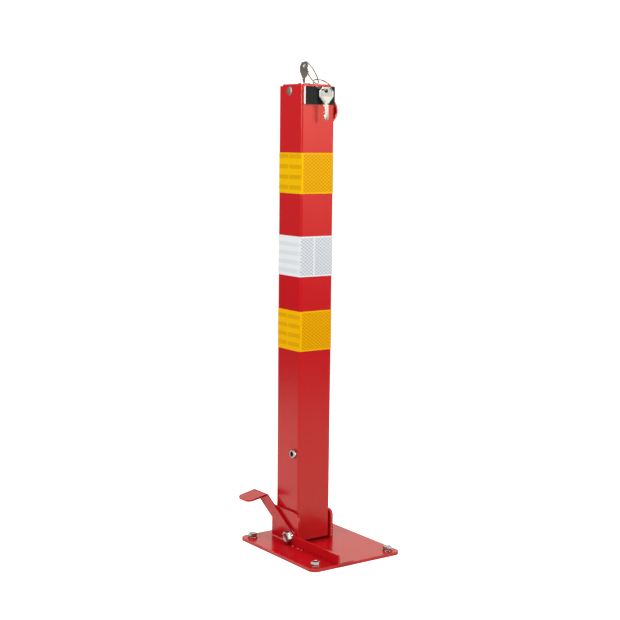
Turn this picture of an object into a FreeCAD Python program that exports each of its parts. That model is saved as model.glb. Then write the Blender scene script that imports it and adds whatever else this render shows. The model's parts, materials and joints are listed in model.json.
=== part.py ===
# A fold-down parking post: a square tube hinged between cheeks on a floor plate, raised with a
# foot lever and held upright by a key-turned rod whose tongue enters a slot in the back stop.
# Millimetres. Origin: centre of the plate's underside. +Z up, the post folds towards -Y.
import FreeCAD, Part
import math
import os

from FreeCAD import Vector

# Floor plate and its anchors
plate_width = 165.0
plate_length = 200.0
plate_thickness = 5.0
plate_corner_radius = 11.0
anchor_inset = 15.0
anchor_diameter = 8.0
anchor_thread_diameter = 7.9
anchor_shank_diameter = 7.2
anchor_hole_clearance = 0.5
anchor_depth = 45.0
anchor_head_flats = 12.0
anchor_head_height = 5.3
anchor_washer_diameter = 15.5
anchor_washer_thickness = 1.6

# Post
tube_size = 60.0
tube_wall = 2.0
tube_corner_radius = 3.5
post_length = 696.0
post_gap = 4.5
post_back_margin = 55.0
heel_relief_depth = 13.0
heel_relief_height = 10.5

# Hinge
hinge_height = 11.5
hinge_setback = 8.0
axle_diameter = 10.0
axle_clearance = 0.06
axle_head_flats = 17.0
axle_head_height = 6.4
axle_washer_diameter = 20.0
axle_washer_thickness = 2.0
bush_wall = 0.8
bush_proud = 0.5
bush_seat = 0.05

# Welded cheeks and the back stop between them
bracket_sheet = 4.0
bracket_side_clearance = 1.0
bracket_back_clearance = 0.3
left_cheek_height = 49.6
right_cheek_height = 46.6
left_nose_radius = 12.0
right_nose_radius = 10.0
back_stop_height = 45.0
left_cheek_reach = 7.5
right_cheek_reach = 3.5

# Foot lever, one bent plate on the axle
lever_sheet = 3.0
lever_standoff = 1.5
lever_floor_clearance = 0.3
lever_bar_height = 15.0
lever_front_margin = -4.0
lever_arm_angle = 32.0
lever_arm_width = 19.5
lever_crook_radius = 25.0
lever_end_radius = 4.0
pedal_height = 64.5
pedal_reach = 36.5
pedal_slope = 11.5
pedal_corner_radius = 11.0
lift_tab_reach = 29.5
lift_tab_length = 24.0

# Cap, lock and keys
cap_clearance = 0.25
cap_proud = 2.5
cap_top = 4.0
cap_wall = 3.0
cap_corner_radius = 6.0
small_bevel = 0.7
cap_depth = 16.5
cap_screw_diameter = 6.0
cap_screw_head_diameter = 13.0
cap_screw_head_height = 1.2
cap_screw_drop = 7.7
cap_screw_offset = 3.0
lock_offset = 7.0
barrel_diameter = 16.0
barrel_length = 30.0
barrel_clearance = 0.15
collar_diameter = 18.0
collar_height = 2.5
lock_nut_flats = 21.0
lock_nut_height = 5.0
plug_diameter = 11.0
plug_clearance = 0.05
plug_tail_size = 5.0
plug_tail_length = 9.0
key_thickness = 1.8
key_slot_clearance = 0.1
key_bow_width = 21.4
key_taper_height = 8.4
key_side_height = 7.6
key_crown_height = 6.5
key_crown_width = 11.4
key_corner_radius = 1.6
key_notch_radius = 1.3
key_notch_height = 1.9
shoulder_gap = 4.4
key_neck_width = 9.6
key_neck_length = 4.6
key_blade_width = 7.0
key_blade_length = 22.3
key_hole_diameter = 5.6
key_hole_drop = 5.5

# Rod, its guide and the tongue
rod_diameter = 8.0
rod_fit = 0.05
rod_socket_diameter = 13.0
rod_socket_depth = 16.0
rod_end_length = 9.0
tongue_height = 35.5
tongue_thickness = 5.0
tongue_width = 10.0
tongue_hub_radius = 9.0
tongue_engagement = 3.0
tongue_slot_clearance = 1.0
tongue_slot_side = 2.0
rod_nut_flats = 13.0
rod_nut_height = 6.5
guide_screw_drop = 559.5
guide_screw_setback = 11.0
guide_screw_diameter = 8.0
guide_screw_head_diameter = 13.0
guide_screw_head_height = 5.0
guide_screw_socket_flats = 6.0
guide_screw_socket_depth = 3.0
guide_screw_length = 12.0
guide_sheet = 3.0
guide_flange_width = 20.0
guide_flange_height = 22.0
guide_shelf_margin = 10.0
guide_bush_wall = 2.0
guide_bush_flange = 2.0

# Bumper, handle and reflective bands
bumper_width = 53.0
bumper_height = 26.5
bumper_foam_thickness = 4.5
bumper_face_thickness = 1.2
bumper_corner_radius = 3.0
bumper_drop = 1.0
handle_outer_radius = 21.2
handle_wall = 2.6
handle_width = 20.0
handle_drop = 36.0
band_thickness = 0.5
band_height = 61.0
band_drops = (130.0, 255.2, 369.0)

# Key rings: the chain runs from the standing key's hole in a line that just clears the bumper's top edge.
# A lean is the drift along X for each millimetre towards the front.
large_ring_wire = 1.0
large_ring_diameter = 38.4
large_ring_lean = 0.112
large_ring_along = (0.578, 0.515, -0.633)
small_ring_wire = 1.6
small_ring_lean = 0.0
small_ring_along = (1.0, 0.0, 0.0)
ring_sides = 8
ring_play = 0.15
chain_clearance = 1.5
spare_key_standoff = 10.0
spare_key_yaw = 45.0
spare_key_drop = 1.1

# Places that follow from the values above
plate_top = plate_thickness
post_centre_y = plate_length / 2 - post_back_margin
post_bottom = plate_top + post_gap
post_top = post_bottom + post_length
half_tube = tube_size / 2
half_bore = half_tube - tube_wall
front_face = post_centre_y - half_tube
back_face = post_centre_y + half_tube
hinge_y = front_face + hinge_setback
hinge_z = plate_top + hinge_height
axle_radius = axle_diameter / 2
axle_hole_radius = axle_radius + axle_clearance
cheek_inner = half_tube + bracket_side_clearance
cheek_outer = cheek_inner + bracket_sheet
web_inner = back_face + bracket_back_clearance
web_outer = web_inner + bracket_sheet
lever_inner = cheek_outer + lever_standoff
lever_outer = lever_inner + lever_sheet
lever_bottom = plate_top + lever_floor_clearance
lever_hub_radius = hinge_z - lever_bottom
lever_front = -plate_length / 2 + lever_front_margin
lock_y = post_centre_y + lock_offset
cap_face = post_top + cap_proud
cap_screw_y = post_centre_y + cap_screw_offset
cap_screw_z = post_top - cap_screw_drop
collar_face = cap_face + collar_height
plug_bottom = collar_face - barrel_length - 2 * plug_clearance
rod_bottom = plate_top + tongue_height - tongue_thickness / 2 - rod_end_length
tongue_z = plate_top + tongue_height - tongue_thickness / 2
tongue_reach = web_inner + tongue_engagement - lock_y
guide_screw_y = front_face + guide_screw_setback
guide_screw_z = post_top - guide_screw_drop
shoulder_z = collar_face + shoulder_gap
bumper_front = front_face - bumper_foam_thickness - bumper_face_thickness
bumper_top = post_top - bumper_drop
key_head_height = key_neck_length + key_taper_height + key_side_height + key_crown_height
bush_radius = axle_hole_radius + bush_wall


def save(name, shape):
    """Write one node."""
    shape.removeSplitter().exportStep("parts/" + name + ".step")


def cylinder(radius, length, base, axis):
    """A cylinder from its base point along an axis."""
    return Part.makeCylinder(radius, length, base, axis)


def hexagon(flats, length, base, axis):
    """A hexagonal prism from the centre of its base along an axis."""
    prism = Part.makeCylinder(flats, length)
    for step in range(6):
        side = Part.makeBox(2 * flats, 4 * flats, length, Vector(flats / 2, -2 * flats, 0))
        side.rotate(Vector(0, 0, 0), Vector(0, 0, 1), 60 * step)
        prism = prism.cut(side)
    prism.Placement = FreeCAD.Placement(base, FreeCAD.Rotation(Vector(0, 0, 1), axis))
    return prism


def washer(outer, inner, thickness, base, axis):
    """A flat ring from its base point along an axis."""
    return cylinder(outer / 2, thickness, base, axis).cut(cylinder(inner, thickness, base, axis))


def prism(points, direction):
    """A solid swept from a closed outline of points."""
    outline = Part.makePolygon(points + points[:1])
    return Part.Face(outline).extrude(direction)


def round_edges(shape, radius, test):
    """Fillet the edges of a shape whose middle point passes a test."""
    chosen = [edge for edge in shape.Edges if test(edge)]
    return shape.makeFillet(radius, chosen)


def bevel_edges(shape, size, test):
    """Chamfer the edges of a shape that pass a test."""
    return shape.makeChamfer(size, [edge for edge in shape.Edges if test(edge)])


def vertical(edge):
    """True for an edge that runs along Z."""
    box = edge.BoundBox
    return box.XLength < 0.001 and box.YLength < 0.001


def square_bar(half, radius, low, high):
    """A rounded square bar on the post's axis between two heights."""
    corner = Vector(-half, post_centre_y - half, low)
    bar = Part.makeBox(2 * half, 2 * half, high - low, corner)
    return round_edges(bar, radius, vertical)


def square_ring(half, wall, radius, low, high):
    """A rounded square tube on the post's axis between two heights."""
    inner_radius = max(radius - wall, 0.5)
    outer = square_bar(half, radius, low, high)
    return outer.cut(square_bar(half - wall, inner_radius, low, high))


def anchor_places():
    """The four anchor centres on the plate."""
    across = plate_width / 2 - anchor_inset
    along = plate_length / 2 - anchor_inset
    return [(x, y) for x in (-across, across) for y in (-along, along)]


def base_plate():
    """Flat plate with rounded corners and four anchor holes."""
    corner = Vector(-plate_width / 2, -plate_length / 2, 0)
    plate = Part.makeBox(plate_width, plate_length, plate_thickness, corner)
    plate = round_edges(plate, plate_corner_radius, vertical)
    hole_radius = anchor_diameter / 2 + anchor_hole_clearance
    for x, y in anchor_places():
        plate = plate.cut(cylinder(hole_radius, plate_thickness, Vector(x, y, 0), Vector(0, 0, 1)))
    return plate


def anchor_bolts():
    """Hex bolts that pass down through the plate into the ground."""
    bolts = []
    head_base = plate_top + anchor_washer_thickness
    for x, y in anchor_places():
        head = hexagon(anchor_head_flats, anchor_head_height, Vector(x, y, head_base), Vector(0, 0, 1))
        shank = cylinder(anchor_shank_diameter / 2, head_base, Vector(x, y, 0), Vector(0, 0, 1))
        thread = cylinder(anchor_thread_diameter / 2, anchor_depth, Vector(x, y, 0), Vector(0, 0, -1))
        bolts.append(head.fuse([shank, thread]).removeSplitter())
    return Part.makeCompound(bolts)


def anchor_washers():
    """Flat washers under the anchor heads."""
    rings = []
    for x, y in anchor_places():
        low = Vector(x, y, plate_top)
        size = anchor_washer_diameter
        rings.append(washer(size, anchor_diameter / 2, anchor_washer_thickness, low, Vector(0, 0, 1)))
    return Part.makeCompound(rings)


def tongue_slot(near, far, margin):
    """The cutter for the slot that the tongue sweeps through between two planes across Y."""
    reach = math.sqrt(tongue_reach ** 2 - (near - lock_y) ** 2)
    left = -tongue_width / 2 - margin
    low = tongue_z - tongue_slot_clearance
    height = tongue_thickness + 2 * tongue_slot_clearance
    return Part.makeBox(reach + margin - left, far - near, height, Vector(left, near, low))


def cheek(x, reach, height, nose_radius):
    """Upright side plate with a rounded nose and the axle hole."""
    low = Vector(x, front_face - reach, plate_top)
    plate = Part.makeBox(bracket_sheet, web_outer - low.y, height, low)

    def nose(edge):
        at = edge.CenterOfMass
        flat = edge.BoundBox.YLength < 0.001 and edge.BoundBox.ZLength < 0.001
        return flat and at.y < front_face and at.z > plate_top + height / 2
    plate = round_edges(plate, nose_radius, nose)
    return plate.cut(cylinder(axle_hole_radius, bracket_sheet, Vector(x, hinge_y, hinge_z), Vector(1, 0, 0)))


def back_stop():
    """Plate between the cheeks that the post leans on, with the slot for the tongue."""
    low = Vector(-cheek_inner, web_inner, plate_top)
    plate = Part.makeBox(2 * cheek_inner, bracket_sheet, back_stop_height, low)
    return plate.cut(tongue_slot(web_inner, web_outer, tongue_slot_side))


def hinge_bolt():
    """Hex bolt that is the axle of the lever and the post, screwed into the right cheek."""
    axis = Vector(1, 0, 0)
    start = -lever_outer - axle_washer_thickness
    end = cheek_outer
    head_base = Vector(start - axle_head_height, hinge_y, hinge_z)
    head = hexagon(axle_head_flats, axle_head_height, head_base, axis)
    shank = cylinder(axle_radius, end - start, Vector(start, hinge_y, hinge_z), axis)
    return head.fuse(shank)


def hinge_washers():
    """Steel washers under the bolt head and between lever and cheek."""
    rings = []
    size = axle_washer_diameter
    places = ((-lever_outer - axle_washer_thickness, axle_washer_thickness),
              (-lever_inner, lever_standoff))
    for x, thickness in places:
        base = Vector(x, hinge_y, hinge_z)
        rings.append(washer(size, axle_hole_radius, thickness, base, Vector(1, 0, 0)))
    return Part.makeCompound(rings)


def post_tube():
    """Square tube with its hinge holes, screw holes, tongue slot and a relieved heel."""
    tube = square_ring(half_tube, tube_wall, tube_corner_radius, post_bottom, post_top)
    heel = [Vector(-half_tube, back_face - heel_relief_depth, post_bottom),
            Vector(-half_tube, back_face, post_bottom),
            Vector(-half_tube, back_face, post_bottom + heel_relief_height)]
    tube = tube.cut(prism(heel, Vector(tube_size, 0, 0)))
    axis = Vector(1, 0, 0)
    tube = tube.cut(cylinder(bush_radius + bush_seat, tube_size, Vector(-half_tube, hinge_y, hinge_z), axis))
    screw_holes = ((guide_screw_diameter / 2 + rod_fit, guide_screw_y, guide_screw_z),
                   (cap_screw_diameter / 2 + rod_fit, cap_screw_y, cap_screw_z))
    for radius, y, z in screw_holes:
        tube = tube.cut(cylinder(radius, tube_wall, Vector(-half_tube, y, z), axis))
    return tube.cut(tongue_slot(back_face - tube_wall, back_face, tongue_slot_side))


def hinge_bush():
    """Bearing tube across the inside of the post, round the axle."""
    half = half_tube + bush_proud
    base = Vector(-half, hinge_y, hinge_z)
    return washer(2 * bush_radius, axle_hole_radius, 2 * half, base, Vector(1, 0, 0))


def top_cap():
    """Hollow cap that plugs the top of the tube, with the hole for the lock."""
    half = half_bore - cap_clearance
    cap = square_bar(half, cap_corner_radius, cap_face - cap_depth, cap_face)

    def rim(edge):
        return edge.BoundBox.ZLength < 0.001 and edge.CenterOfMass.z > cap_face - 0.001
    cap = bevel_edges(cap, small_bevel, rim)
    pocket = square_bar(half - cap_wall, 2.0, cap_face - cap_depth, cap_face - cap_top)
    cap = cap.cut(pocket)
    hole_base = Vector(0, lock_y, cap_face - cap_depth)
    hole_radius = barrel_diameter / 2 + barrel_clearance
    cap = cap.cut(cylinder(hole_radius, cap_depth, hole_base, Vector(0, 0, 1)))
    screw = Vector(-half_tube, cap_screw_y, cap_screw_z)
    return cap.cut(cylinder(cap_screw_diameter / 2, tube_wall + cap_wall + 2, screw, Vector(1, 0, 0)))


def cap_screw():
    """Low round-headed screw through the left wall into the cap."""
    at = Vector(-half_tube, cap_screw_y, cap_screw_z)
    axis = Vector(1, 0, 0)
    head = cylinder(cap_screw_head_diameter / 2, cap_screw_head_height, at, Vector(-1, 0, 0))
    head = bevel_edges(head, small_bevel, lambda e: e.CenterOfMass.x < at.x - cap_screw_head_height + 0.001)
    return head.fuse(cylinder(cap_screw_diameter / 2, tube_wall + cap_wall, at, axis))


def lock_barrel():
    """Fixed lock body with a collar that seats on the cap."""
    up = Vector(0, 0, 1)
    low = Vector(0, lock_y, collar_face - barrel_length)
    body = cylinder(barrel_diameter / 2, barrel_length, low, up)
    collar = cylinder(collar_diameter / 2, collar_height, Vector(0, lock_y, cap_face), up)
    collar = bevel_edges(collar, small_bevel, lambda e: e.CenterOfMass.z > collar_face - 0.001)
    bore = cylinder(plug_diameter / 2 + plug_clearance, barrel_length, low, up)
    return body.fuse(collar).cut(bore)


def lock_nut():
    """Thin nut that clamps the barrel under the cap."""
    base = Vector(0, lock_y, cap_face - cap_top - lock_nut_height)
    nut = hexagon(lock_nut_flats, lock_nut_height, base, Vector(0, 0, 1))
    return nut.cut(cylinder(barrel_diameter / 2, lock_nut_height, base, Vector(0, 0, 1)))


def key_blank(blade_drop):
    """A key standing in the YZ plane, its shoulder at z = 0 and its bow upwards."""
    neck = key_neck_width / 2
    taper_top = key_neck_length + key_taper_height
    side_top = taper_top + key_side_height
    top = side_top + key_crown_height
    x = -key_thickness / 2
    side = [(neck, 0), (neck, key_neck_length), (key_bow_width / 2, taper_top), (key_bow_width / 2, side_top),
            (key_crown_width / 2, top)]
    outline = [Vector(x, y, z) for y, z in side]
    outline += [Vector(x, -y, z) for y, z in reversed(side)]
    bow = prism(outline, Vector(key_thickness, 0, 0))
    bow = round_edges(bow, key_corner_radius, lambda e: e.BoundBox.XLength > x + key_thickness
                      and e.CenterOfMass.z > key_neck_length + 1)
    for y in (-neck, neck):
        notch = Vector(x, y, key_notch_height)
        bow = bow.cut(cylinder(key_notch_radius, key_thickness, notch, Vector(1, 0, 0)))
    blade_half = key_blade_width / 2
    tip = -key_blade_length
    cut = key_blade_width * 0.3
    blade = [(-blade_half, 0), (-blade_half, tip + cut), (0, tip), (blade_half, tip + cut)]
    pitch = (key_blade_length - 2 * cut) / 4
    for step in range(4):
        low = tip + cut + pitch * (step + 0.25)
        depth = cut * (0.45 + 0.2 * ((step * 3) % 4))
        blade.append((blade_half, low))
        blade.append((blade_half - depth, low + pitch * 0.3))
        blade.append((blade_half - depth, low + pitch * 0.55))
    blade.append((blade_half, -pitch * 0.1))
    blade.append((blade_half, 0))
    shank = prism([Vector(x, y, z) for y, z in blade], Vector(key_thickness, 0, 0))
    key = bow.fuse(shank).removeSplitter()
    hole = Vector(x, 0, top - key_hole_drop)
    key = key.cut(cylinder(key_hole_diameter / 2, key_thickness, hole, Vector(1, 0, 0)))
    key.translate(Vector(0, 0, blade_drop))
    return key


def lock_key():
    """The key that stands in the lock."""
    key = key_blank(shoulder_z)
    key.translate(Vector(0, lock_y, 0))
    return key


def lock_plug():
    """Turning core of the lock, with the keyway and a square tail."""
    up = Vector(0, 0, 1)
    core = cylinder(plug_diameter / 2, collar_face - plug_bottom, Vector(0, lock_y, plug_bottom), up)
    width = key_blade_width + 2 * key_slot_clearance
    depth = key_thickness + 2 * key_slot_clearance
    low = shoulder_z - key_blade_length - 2 * key_slot_clearance
    keyway = Part.makeBox(depth, width, collar_face - low, Vector(-depth / 2, lock_y - width / 2, low))
    core = core.cut(keyway)
    half = plug_tail_size / 2
    corner = Vector(-half, lock_y - half, plug_bottom - plug_tail_length)
    return core.fuse(Part.makeBox(plug_tail_size, plug_tail_size, plug_tail_length, corner))


def drive_rod():
    """Long rod with a square socket on the plug's tail and a threaded lower end."""
    up = Vector(0, 0, 1)
    socket_low = plug_bottom - rod_socket_depth
    rod = cylinder(rod_diameter / 2, socket_low - rod_bottom, Vector(0, lock_y, rod_bottom), up)
    socket = cylinder(rod_socket_diameter / 2, rod_socket_depth, Vector(0, lock_y, socket_low), up)
    half = plug_tail_size / 2 + rod_fit
    low = plug_bottom - plug_tail_length - rod_fit
    square = Part.makeBox(2 * half, 2 * half, plug_bottom - low, Vector(-half, lock_y - half, low))
    return rod.fuse(socket.cut(square))


def locking_tongue():
    """Plate on the rod's lower end that swings out through the slots when the key turns."""
    up = Vector(0, 0, 1)
    base = Vector(0, lock_y, tongue_z)
    disc = cylinder(tongue_reach, tongue_thickness, base, up)
    low = Vector(0, lock_y - tongue_width / 2, tongue_z)
    arm = Part.makeBox(tongue_reach + 1, tongue_width, tongue_thickness, low).common(disc)
    tongue = arm.fuse(cylinder(tongue_hub_radius, tongue_thickness, base, up)).removeSplitter()
    return tongue.cut(cylinder(rod_diameter / 2, tongue_thickness, base, up))


def tongue_nuts():
    """The two nuts that clamp the tongue on the rod."""
    up = Vector(0, 0, 1)
    nuts = []
    for z in (tongue_z - rod_nut_height, tongue_z + tongue_thickness):
        base = Vector(0, lock_y, z)
        nut = hexagon(rod_nut_flats, rod_nut_height, base, up)
        nuts.append(nut.cut(cylinder(rod_diameter / 2, rod_nut_height, base, up)))
    return Part.makeCompound(nuts)


def rod_guide():
    """Bent plate inside the post: a flange on the left wall and a shelf round the rod."""
    shelf_z = guide_screw_z - guide_flange_height / 2
    flange_low = Vector(-half_bore, guide_screw_y - guide_flange_width / 2 + 2, shelf_z)
    flange = Part.makeBox(guide_sheet, guide_flange_width, guide_flange_height, flange_low)
    shelf_length = lock_y + guide_shelf_margin - flange_low.y
    shelf = Part.makeBox(half_bore + guide_shelf_margin, shelf_length, guide_sheet, flange_low)
    guide = flange.fuse(shelf).removeSplitter()
    screw = Vector(-half_bore, guide_screw_y, guide_screw_z)
    guide = guide.cut(cylinder(guide_screw_diameter / 2, guide_sheet, screw, Vector(1, 0, 0)))
    hole = rod_diameter / 2 + guide_bush_wall
    return guide.cut(cylinder(hole, guide_sheet, Vector(0, lock_y, shelf_z), Vector(0, 0, 1)))


def rod_bush():
    """Flanged plastic bush in the guide's shelf."""
    up = Vector(0, 0, 1)
    shelf_z = guide_screw_z - guide_flange_height / 2
    outer = rod_diameter / 2 + guide_bush_wall
    low = Vector(0, lock_y, shelf_z)
    seat = Vector(0, lock_y, shelf_z + guide_sheet)
    body = cylinder(outer, guide_sheet, low, up)
    flange = cylinder(outer + guide_bush_wall, guide_bush_flange, seat, up)
    bore = cylinder(rod_diameter / 2 + rod_fit, guide_sheet + guide_bush_flange, low, up)
    return body.fuse(flange).cut(bore)


def guide_screw():
    """Socket-head screw that holds the rod guide from outside."""
    axis = Vector(1, 0, 0)
    at = Vector(-half_tube, guide_screw_y, guide_screw_z)
    outside = Vector(-half_tube - guide_screw_head_height, guide_screw_y, guide_screw_z)
    head = cylinder(guide_screw_head_diameter / 2, guide_screw_head_height, outside, axis)
    head = bevel_edges(head, small_bevel, lambda e: e.CenterOfMass.x < outside.x + 0.001)
    head = head.cut(hexagon(guide_screw_socket_flats, guide_screw_socket_depth, outside, axis))
    return head.fuse(cylinder(guide_screw_diameter / 2, guide_screw_length, at, axis))


def bumper_block(near, thickness):
    """A rounded block on the front face, standing out from a given distance."""
    low = Vector(-bumper_width / 2, front_face - near - thickness, post_top - bumper_drop - bumper_height)
    block = Part.makeBox(bumper_width, thickness, bumper_height, low)
    return round_edges(block, bumper_corner_radius, lambda e: e.BoundBox.YLength > thickness / 2)


def lift_handle():
    """Half a slice of pipe welded to the right wall as a pull."""
    centre = Vector(half_tube, post_centre_y - handle_width / 2, post_top - handle_drop)
    axis = Vector(0, 1, 0)
    ring = cylinder(handle_outer_radius, handle_width, centre, axis)
    ring = ring.cut(cylinder(handle_outer_radius - handle_wall, handle_width, centre, axis))
    low = Vector(half_tube, centre.y, centre.z - handle_outer_radius)
    return ring.common(Part.makeBox(handle_outer_radius, handle_width, 2 * handle_outer_radius, low))


def reflective_band(drop):
    """Sheeting wrapped round the post."""
    middle = post_top - drop
    half = half_tube + band_thickness
    radius = tube_corner_radius + band_thickness
    return square_ring(half, band_thickness, radius, middle - band_height / 2, middle + band_height / 2)


def pedal_lever():
    """Foot lever bent from one plate: a pedal out to the left, an arm down to the axle, a bar along
    the floor plate and a tab turned in under the folded post."""
    slope = math.tan(math.radians(lever_arm_angle))
    top = plate_top + pedal_height
    bar_top = lever_bottom + lever_bar_height
    drop = lever_arm_width / math.cos(math.radians(lever_arm_angle))
    hub_low = hinge_z - lever_hub_radius
    crook_y = hinge_y - (hinge_z + drop / 2 - bar_top) / slope
    arm_front = crook_y + (top - bar_top) / slope
    arm_back = arm_front + drop / slope
    heel_y = arm_back - (top - hub_low) / slope
    x = -lever_outer
    outline = [Vector(x, lever_front, lever_bottom),
               Vector(x, lever_front, bar_top),
               Vector(x, crook_y, bar_top),
               Vector(x, arm_front, top),
               Vector(x, arm_back, top),
               Vector(x, heel_y, hub_low),
               Vector(x, hinge_y - lever_hub_radius, lever_bottom)]
    web = prism(outline, Vector(lever_sheet, 0, 0))

    def across(edge, y, z):
        at = edge.CenterOfMass
        return edge.BoundBox.XLength > lever_sheet / 2 and abs(at.y - y) < 0.01 and abs(at.z - z) < 0.01
    web = round_edges(web, lever_crook_radius, lambda e: across(e, crook_y, bar_top))
    web = round_edges(web, lever_hub_radius, lambda e: across(e, heel_y, hub_low))
    web = round_edges(web, lever_end_radius, lambda e: across(e, lever_front, bar_top))
    low = Vector(-pedal_reach, arm_front, -lever_sheet)
    pad = Part.makeBox(pedal_reach, arm_back - arm_front, lever_sheet, low)
    pad = round_edges(pad, pedal_corner_radius, lambda e: vertical(e) and e.CenterOfMass.x < -pedal_reach / 2)
    pad.rotate(Vector(0, 0, 0), Vector(0, 1, 0), -pedal_slope)
    pad.translate(Vector(-lever_inner, 0, top))
    tab = Part.makeBox(lift_tab_reach, lift_tab_length, lever_sheet, Vector(x, lever_front, lever_bottom))
    tab = round_edges(tab, lever_end_radius, lambda e: vertical(e) and e.CenterOfMass.x > x + 1)
    lever = web.fuse([pad, tab]).removeSplitter()
    bend = [e for e in lever.Edges if e.BoundBox.YLength > (arm_back - arm_front) * 0.9
            and abs(e.CenterOfMass.x + lever_inner) < 0.01 and abs(e.CenterOfMass.z - top) < 0.01]
    lever = lever.makeFillet(lever_sheet * 0.9, bend)
    hole = cylinder(axle_hole_radius, lever_sheet, Vector(x, hinge_y, hinge_z), Vector(1, 0, 0))
    return lever.cut(hole)


def key_hole_place():
    """Centre of the hole in the standing key's bow."""
    return Vector(0, lock_y, shoulder_z + key_head_height - key_hole_drop)


def wire_ring(diameter, wire, start, down, along):
    """A ring of many-sided wire that hangs from a point of its own wire."""
    axis = down.cross(along).normalize()
    centre = start + down * (diameter / 2)
    corners = []
    for side in range(ring_sides):
        turn = 2 * math.pi * (side + 0.5) / ring_sides
        out = diameter / 2 + wire / 2 * math.cos(turn)
        corners.append(centre - down * out + axis * (wire / 2 * math.sin(turn)))
    section = Part.Face(Part.makePolygon(corners + corners[:1]))
    return section.revolve(centre, axis, 360)


chain_top = key_hole_place()
chain_fall = (chain_top.z - bumper_top - chain_clearance) / (chain_top.y - bumper_front)
large_down = Vector(large_ring_lean, -1, -chain_fall).normalize()
small_down = Vector(small_ring_lean, -1, -chain_fall).normalize()
large_along = Vector(*large_ring_along)
small_along = Vector(*small_ring_along)
large_end = chain_top + large_down * large_ring_diameter
small_start = large_end - large_down * ((large_ring_wire + small_ring_wire) / 2 + ring_play)
small_ring_diameter = (small_start.y - bumper_front + spare_key_standoff) / -small_down.y
small_end = small_start + small_down * small_ring_diameter


def spare_key():
    """The second key, hanging from the small ring in front of the bumper."""
    key = key_blank(0)
    key.translate(Vector(0, 0, key_hole_drop - key_head_height))
    key.rotate(Vector(0, 0, 0), Vector(0, 0, 1), spare_key_yaw)
    key.translate(small_end - Vector(0, 0, spare_key_drop))
    return key


os.makedirs("parts", exist_ok=True)
save("base_plate", base_plate())
save("cheek_left", cheek(-cheek_outer, left_cheek_reach, left_cheek_height, left_nose_radius))
save("cheek_right", cheek(cheek_inner, right_cheek_reach, right_cheek_height, right_nose_radius))
save("back_stop", back_stop())
save("anchor_bolts", anchor_bolts())
save("anchor_washers", anchor_washers())
save("hinge_bolt", hinge_bolt())
save("hinge_washers", hinge_washers())
save("post_tube", post_tube())
save("hinge_bush", hinge_bush())
save("top_cap", top_cap())
save("cap_screw", cap_screw())
save("lock_barrel", lock_barrel())
save("lock_nut", lock_nut())
save("lock_plug", lock_plug())
save("lock_key", lock_key())
save("drive_rod", drive_rod())
save("locking_tongue", locking_tongue())
save("tongue_nuts", tongue_nuts())
save("rod_guide", rod_guide())
save("rod_bush", rod_bush())
save("guide_screw", guide_screw())
save("bumper_foam", bumper_block(0, bumper_foam_thickness))
save("bumper_face", bumper_block(bumper_foam_thickness, bumper_face_thickness))
save("lift_handle", lift_handle())
for band_name, band_drop in zip(("upper_band", "middle_band", "lower_band"), band_drops):
    save(band_name, reflective_band(band_drop))
save("pedal_lever", pedal_lever())
save("large_key_ring", wire_ring(large_ring_diameter, large_ring_wire, chain_top, large_down, large_along))
save("small_key_ring", wire_ring(small_ring_diameter, small_ring_wire, small_start, small_down, small_along))
save("spare_key", spare_key())
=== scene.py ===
import json
import math

import bmesh
import bpy
import numpy
from mathutils import Matrix, Vector
from mathutils.geometry import convex_hull_2d

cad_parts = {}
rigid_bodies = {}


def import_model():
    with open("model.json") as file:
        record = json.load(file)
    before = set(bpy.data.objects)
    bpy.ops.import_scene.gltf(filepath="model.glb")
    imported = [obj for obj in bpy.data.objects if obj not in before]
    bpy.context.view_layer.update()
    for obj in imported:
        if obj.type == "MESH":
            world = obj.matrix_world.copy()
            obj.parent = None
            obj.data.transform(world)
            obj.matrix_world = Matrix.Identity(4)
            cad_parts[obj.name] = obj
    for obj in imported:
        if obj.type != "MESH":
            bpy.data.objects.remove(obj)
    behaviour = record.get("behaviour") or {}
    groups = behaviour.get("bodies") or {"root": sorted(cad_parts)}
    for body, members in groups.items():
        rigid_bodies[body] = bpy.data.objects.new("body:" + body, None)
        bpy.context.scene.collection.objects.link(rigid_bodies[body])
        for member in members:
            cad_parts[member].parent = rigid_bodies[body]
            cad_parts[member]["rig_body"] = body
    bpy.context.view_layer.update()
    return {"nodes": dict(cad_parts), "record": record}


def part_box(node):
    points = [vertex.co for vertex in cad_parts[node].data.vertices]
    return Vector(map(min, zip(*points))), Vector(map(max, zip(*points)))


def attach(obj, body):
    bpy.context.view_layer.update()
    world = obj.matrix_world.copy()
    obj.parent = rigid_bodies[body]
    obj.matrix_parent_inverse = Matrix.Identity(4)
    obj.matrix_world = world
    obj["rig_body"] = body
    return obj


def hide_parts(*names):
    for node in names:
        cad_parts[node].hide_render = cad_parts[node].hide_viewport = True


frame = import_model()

nodes = frame["nodes"]


# Floor plate, cheeks and back stop: hot-rolled sheet, laser cut and welded together, then powder coated
# red as one piece. The coat rounds every cut edge and has a fine orange peel; its edges are painted lighter,
# partly as paint worn thin and partly as painted highlight.
def link(obj):
    bpy.context.scene.collection.objects.link(obj)
    return obj


def plain_mesh(obj):
    """Apply an object's modifiers and keep the result as its mesh."""
    graph = bpy.context.evaluated_depsgraph_get()
    done = bpy.data.meshes.new_from_object(obj.evaluated_get(graph))
    obj.modifiers.clear()
    obj.data = done
    return obj


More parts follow.
